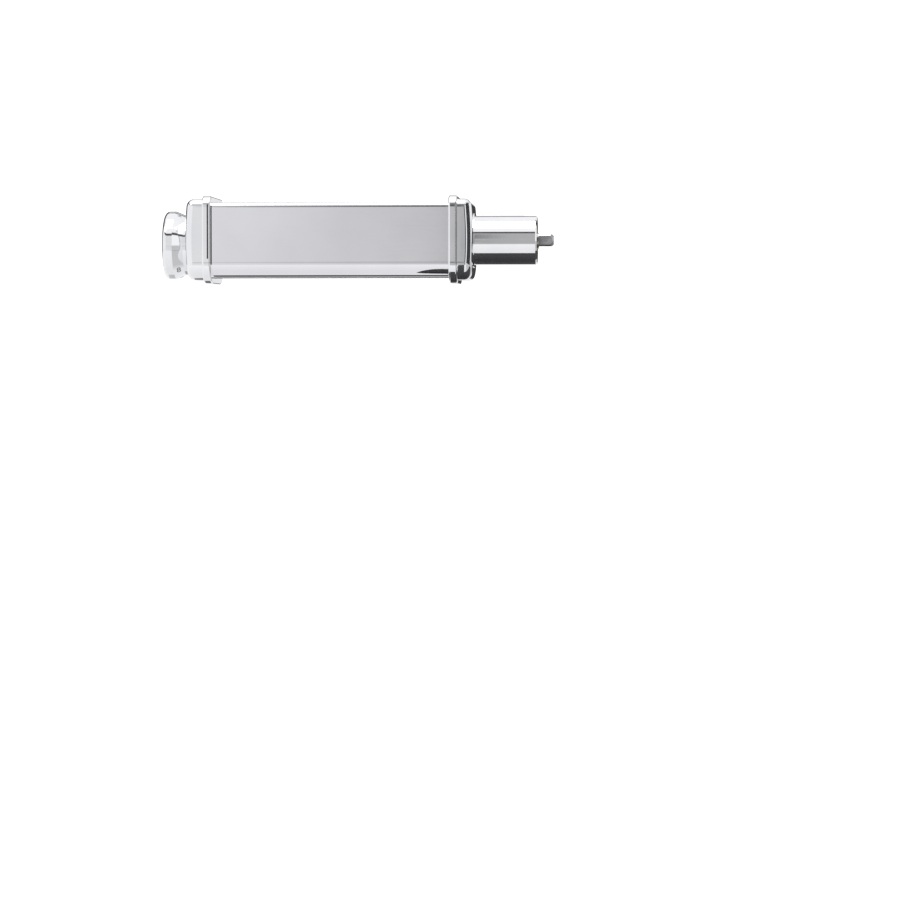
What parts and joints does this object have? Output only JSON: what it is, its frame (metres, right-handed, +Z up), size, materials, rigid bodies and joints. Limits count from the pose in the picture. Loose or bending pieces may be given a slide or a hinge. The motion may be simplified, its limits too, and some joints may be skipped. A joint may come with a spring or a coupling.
{
  "type": "pasta roller machine",
  "caption": "Chromed pasta roller attachment: a pair of driven steel rollers in a slim open housing, set by a pull-and-turn knob and driven through a plain round hub.",
  "frame": {"origin": "on the drive hub's axis, where the hub leaves the right end cover", "axes": "+X along the hub, away from the housing; -Y is the front panel; +Z up, out of the feed mouth"},
  "size_m": [0.2641, 0.0656, 0.0586],
  "materials": {
    "chromed_housing": "bright chrome over a die casting",
    "chromed_knob": "bright chrome over a die casting",
    "polished_sheet": "polished steel sheet with a faint lengthwise grain",
    "roller_steel": "ground and polished steel",
    "machined_steel": "machined steel",
    "cast_carriage": "die-cast alloy",
    "bronze": "sintered bronze",
    "nylon": "white moulded nylon"
  },
  "bodies": {
    "housing": {"right_side_frame": "chromed_housing", "left_side_frame": "chromed_housing", "right_end_cover": "chromed_housing", "left_end_cover": "chromed_housing", "front_panel": "polished_sheet", "rear_panel": "polished_sheet", "right_dough_guide": "nylon", "left_dough_guide": "nylon", "front_scraper_bar": "machined_steel", "front_scraper": "nylon", "front_upper_tie_rod": "machined_steel", "rear_upper_tie_rod": "machined_steel", "front_lower_tie_rod": "machined_steel", "rod_screws": "machined_steel", "cover_screws": "machined_steel", "left_fixed_bush": "bronze", "right_fixed_bush": "bronze", "adjuster_bush": "bronze", "drive_hub": "chromed_housing", "inner_hub_bush": "bronze", "outer_hub_bush": "bronze"},
    "fixed_roller": {"fixed_roller": "roller_steel", "fixed_roller_clip": "machined_steel", "fixed_sync_gear": "machined_steel", "driven_gear": "machined_steel", "gear_spacer": "machined_steel"},
    "carriage": {"left_bearing_block": "cast_carriage", "right_bearing_block": "cast_carriage", "left_block_bush": "bronze", "right_block_bush": "bronze", "carriage_tie_bar": "machined_steel", "carriage_screws": "machined_steel", "rear_scraper": "nylon", "follower_pin": "machined_steel"},
    "moving_roller": {"moving_roller": "roller_steel", "moving_roller_clip": "machined_steel", "moving_sync_gear": "machined_steel"},
    "adjuster": {"scroll_cam": "cast_carriage", "adjuster_shaft": "machined_steel", "knob_washer": "machined_steel", "knob_screw": "machined_steel", "knob_spring": "machined_steel"},
    "knob": {"knob": "chromed_knob", "knob_cap": "chromed_knob", "index_pin": "machined_steel"},
    "drive_shaft": {"drive_shaft": "machined_steel", "drive_shaft_clip": "machined_steel", "drive_pinion": "machined_steel"}
  },
  "joints": [
    {"name": "roller_spin", "type": "hinge", "parent": "housing", "child": "fixed_roller", "pos_m": [-0.0957, -0.01378, -0.003], "axis": [1, 0, 0], "continuous": true},
    {"name": "roller_gap", "type": "slide", "parent": "housing", "child": "carriage", "axis": [0, 1, 0], "range_m": [-0.0022, 0]},
    {"name": "moving_spin", "type": "hinge", "parent": "carriage", "child": "moving_roller", "pos_m": [-0.0957, 0.01372, -0.003], "axis": [1, 0, 0], "continuous": true},
    {"name": "drive_spin", "type": "hinge", "parent": "housing", "child": "drive_shaft", "pos_m": [0, 0, 0], "axis": [1, 0, 0], "continuous": true},
    {"name": "knob_turn", "type": "hinge", "parent": "housing", "child": "adjuster", "pos_m": [-0.1931, 0, -0.003], "axis": [1, 0, 0], "range_deg": [0, 280]},
    {"name": "knob_pull", "type": "slide", "parent": "adjuster", "child": "knob", "axis": [-1, 0, 0], "range_m": [0, 0.003], "stiffness_N_per_m": 1500, "springref_m": -0.004, "deforming": ["knob_spring"]}
  ],
  "couplings": [
    {"joint": "moving_spin", "follows": "roller_spin", "ratio": -1},
    {"joint": "drive_spin", "follows": "roller_spin", "ratio": -1.3333},
    {"joint": "knob_turn", "follows": "roller_gap", "rad_per_m": -2221.3}
  ]
}
